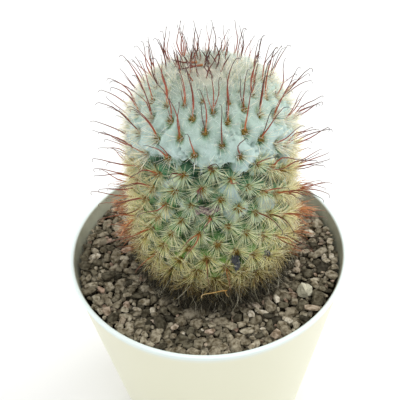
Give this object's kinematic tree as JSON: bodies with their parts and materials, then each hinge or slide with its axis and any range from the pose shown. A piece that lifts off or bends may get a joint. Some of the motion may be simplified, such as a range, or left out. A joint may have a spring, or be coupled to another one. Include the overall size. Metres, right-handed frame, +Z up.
{
  "type": "potted silken pincushion cactus",
  "caption": "Stout round-topped cactus with hooked spines and white wool between its tubercles, standing in lava grit in a plain tapered round pot.",
  "frame": {"origin": "centre of the pot's foot, on the surface that it stands on", "axes": "+Z up along the pot and the stem, -Y towards the side that the picture shows, +X to its right"},
  "size_m": [0.1236, 0.1236, 0.2083],
  "materials": {
    "pot": "warm white, smooth, half gloss",
    "grit": "dry porous brown and grey lava grains",
    "pale_stone": "dull, rough, pale buff",
    "cactus": "waxy green skin with cream radial spines and red-brown hooked spines",
    "wool": "soft white matted wool, no shine"
  },
  "bodies": {
    "root": {"pot": "pot", "grit": "grit", "pale_stone": "pale_stone", "cactus": "cactus", "wool": "wool"}
  },
  "joints": []
}
